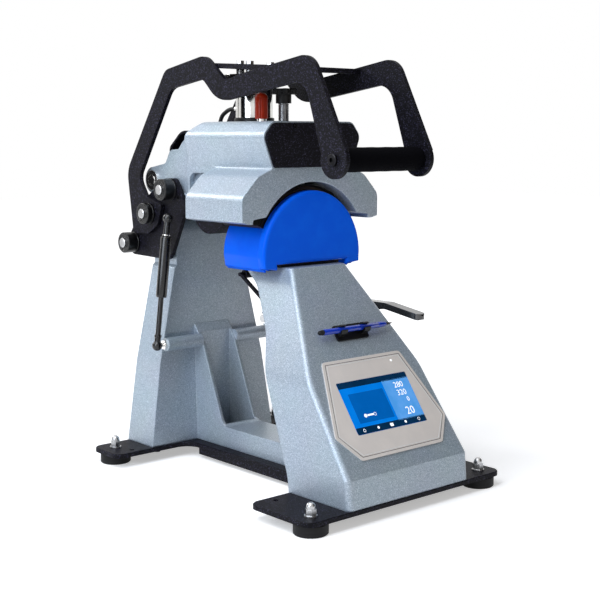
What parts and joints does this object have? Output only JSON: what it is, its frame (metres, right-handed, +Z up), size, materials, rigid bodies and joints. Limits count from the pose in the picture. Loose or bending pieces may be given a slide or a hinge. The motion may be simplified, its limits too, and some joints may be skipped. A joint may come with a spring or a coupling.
{
  "type": "cap heat press",
  "caption": "Hinged bench press with curved heated platen, curved soft pad on a sloping control console, gas springs and long double handle.",
  "frame": {"origin": "on the bench, under the centre of the press's bounding box", "axes": "+X to the right of the user who faces the console, +Y to the rear, +Z up"},
  "size_m": [0.364, 0.548, 0.5981],
  "materials": {
    "black_powder_coat": "black powder coat with a fine leathery texture",
    "silver_powder_coat": "light blue-grey metallic powder coat on cast aluminium, fine sparkle",
    "foot_rubber": "moulded black rubber",
    "bright_steel": "bright zinc-plated steel",
    "black_oxide_steel": "black oxide steel, slightly oily sheen",
    "chrome_plate": "polished chrome plate",
    "bush_bronze": "sintered bronze",
    "cast_aluminium": "machined cast aluminium",
    "platen_coating": "dark non-stick coating on aluminium",
    "heater_mat": "moulded heater mat",
    "insulation_felt": "dark glass-fibre felt",
    "blue_silicone": "smooth moulded blue silicone",
    "black_plastic": "moulded black nylon, satin",
    "rocker_plastic": "glossy black switch plastic",
    "supply_case": "plain folded aluminium case",
    "panel_film": "warm silver printed panel film",
    "screen_glass": "lit blue touch screen behind clear plastic",
    "module_plastic": "black plastic module case",
    "circuit_board": "green circuit board",
    "pen_plastic": "glossy blue plastic with black ends",
    "cable_jacket": "black rubber cable jacket",
    "bumper_rubber": "moulded orange urethane",
    "sleeve_nylon": "turned black nylon",
    "spring_black": "semi-gloss black enamel",
    "grip_foam": "closed-cell black foam"
  },
  "bodies": {
    "stand": {"base_plate": "black_powder_coat", "rubber_feet": "foot_rubber", "foot_acorn_nuts": "bright_steel", "underplate_bolts": "black_oxide_steel", "tower_casting": "silver_powder_coat", "tower_back_cover": "black_powder_coat", "back_cover_screws": "black_oxide_steel", "power_inlet": "black_plastic", "switch_body": "black_plastic", "power_supply": "supply_case", "console_shell": "silver_powder_coat", "console_back_cover": "black_powder_coat", "control_board": "circuit_board", "display_module": "module_plastic", "display_panel": "panel_film", "display_screen": "screen_glass", "stylus_holder": "black_plastic", "platen_bracket": "black_powder_coat", "lower_platen_core": "cast_aluminium", "platen_screws": "bright_steel", "lower_platen_pad": "blue_silicone", "tower_ball_studs": "chrome_plate", "pivot_bushes": "bush_bronze"},
    "head": {"head_casting": "silver_powder_coat", "front_end_plate": "black_powder_coat", "head_screws": "black_oxide_steel", "wiring_guard": "black_powder_coat", "rear_cover": "black_powder_coat", "pivot_shaft": "chrome_plate", "magnet_base_ring": "black_plastic", "magnet_body": "chrome_plate", "magnet_lead": "cable_jacket", "bumper": "bumper_rubber", "bumper_stud": "chrome_plate", "crank_plates": "black_powder_coat", "linkage_pins": "bright_steel", "linkage_sleeves": "sleeve_nylon"},
    "platen": {"heat_platen": "platen_coating", "heater_element": "heater_mat", "insulation_pad": "insulation_felt", "platen_carrier": "cast_aluminium"},
    "pressure_screw_assembly": {"pressure_screw": "bright_steel", "pressure_knob": "black_plastic"},
    "handle": {"handle_plates": "black_powder_coat", "handle_cross_plate": "black_powder_coat", "grip_tube": "bright_steel", "grip_sleeve": "grip_foam", "grip_screws": "black_oxide_steel", "armature_disc": "chrome_plate", "armature_bolts": "bright_steel"},
    "spring_rod_right_body": {"spring_rod_right": "spring_black"},
    "spring_rod_left_body": {"spring_rod_left": "spring_black"},
    "spring_cylinder_right_body": {"spring_cylinder_right": "spring_black"},
    "spring_cylinder_left_body": {"spring_cylinder_left": "spring_black"},
    "hold_down": {"hold_down_shaft": "bright_steel", "hold_down_nuts": "chrome_plate", "hold_down_lever": "black_powder_coat", "hold_down_bail": "black_powder_coat"},
    "power_rocker": {"switch_rocker": "rocker_plastic"},
    "stylus": {"stylus_pen": "pen_plastic"}
  },
  "joints": [
    {"name": "head_hinge", "type": "hinge", "parent": "stand", "child": "head", "pos_m": [0, 0.22, 0.42], "axis": [-1, 0, 0], "range_deg": [0, 34]},
    {"name": "handle_hinge", "type": "hinge", "parent": "head", "child": "handle", "pos_m": [0, 0.205, 0.3706], "axis": [-1, 0, 0], "range_deg": [0, 25]},
    {"name": "spring_tilt_right", "type": "hinge", "parent": "stand", "child": "spring_rod_right_body", "pos_m": [0.112, 0.143, 0.178], "axis": [0.895, 0.2824, 0.3452], "range_deg": [0, 5.79]},
    {"name": "spring_tilt_left", "type": "hinge", "parent": "stand", "child": "spring_rod_left_body", "pos_m": [-0.112, 0.143, 0.178], "axis": [0.895, -0.2824, -0.3452], "range_deg": [0, 5.79]},
    {"name": "spring_stroke_right", "type": "slide", "parent": "spring_rod_right_body", "child": "spring_cylinder_right_body", "axis": [-0.1369, 0.0263, 0.9902], "range_m": [0, 0.0484]},
    {"name": "spring_stroke_left", "type": "slide", "parent": "spring_rod_left_body", "child": "spring_cylinder_left_body", "axis": [0.1369, 0.0263, 0.9902], "range_m": [0, 0.0484]},
    {"name": "pressure_turn", "type": "hinge", "parent": "head", "child": "pressure_screw_assembly", "pos_m": [0, -0.0163, 0.52], "axis": [0, 0, 1], "range_deg": [0, 720]},
    {"name": "platen_lift", "type": "slide", "parent": "head", "child": "platen", "axis": [0, 0, 1], "range_m": [0, 0.004]},
    {"name": "hold_down_hinge", "type": "hinge", "parent": "stand", "child": "hold_down", "pos_m": [0, -0.056, 0.238], "axis": [-1, 0, 0], "range_deg": [0, 40]},
    {"name": "power_rocker_tilt", "type": "hinge", "parent": "stand", "child": "power_rocker", "pos_m": [0.038, 0.214, 0.072], "axis": [1, 0, 0], "range_deg": [0, 10]},
    {"name": "stylus_draw", "type": "slide", "parent": "stand", "child": "stylus", "axis": [-1, 0, 0], "range_m": [0, 0.12]}
  ],
  "couplings": [
    {"joint": "spring_tilt_right", "follows": "head_hinge", "ratio": 0.17016},
    {"joint": "spring_tilt_left", "follows": "head_hinge", "ratio": 0.17016},
    {"joint": "spring_stroke_right", "follows": "head_hinge", "m_per_rad": 0.08129},
    {"joint": "spring_stroke_left", "follows": "head_hinge", "m_per_rad": 0.08129},
    {"joint": "pressure_turn", "follows": "platen_lift", "rad_per_m": 3141.6}
  ]
}
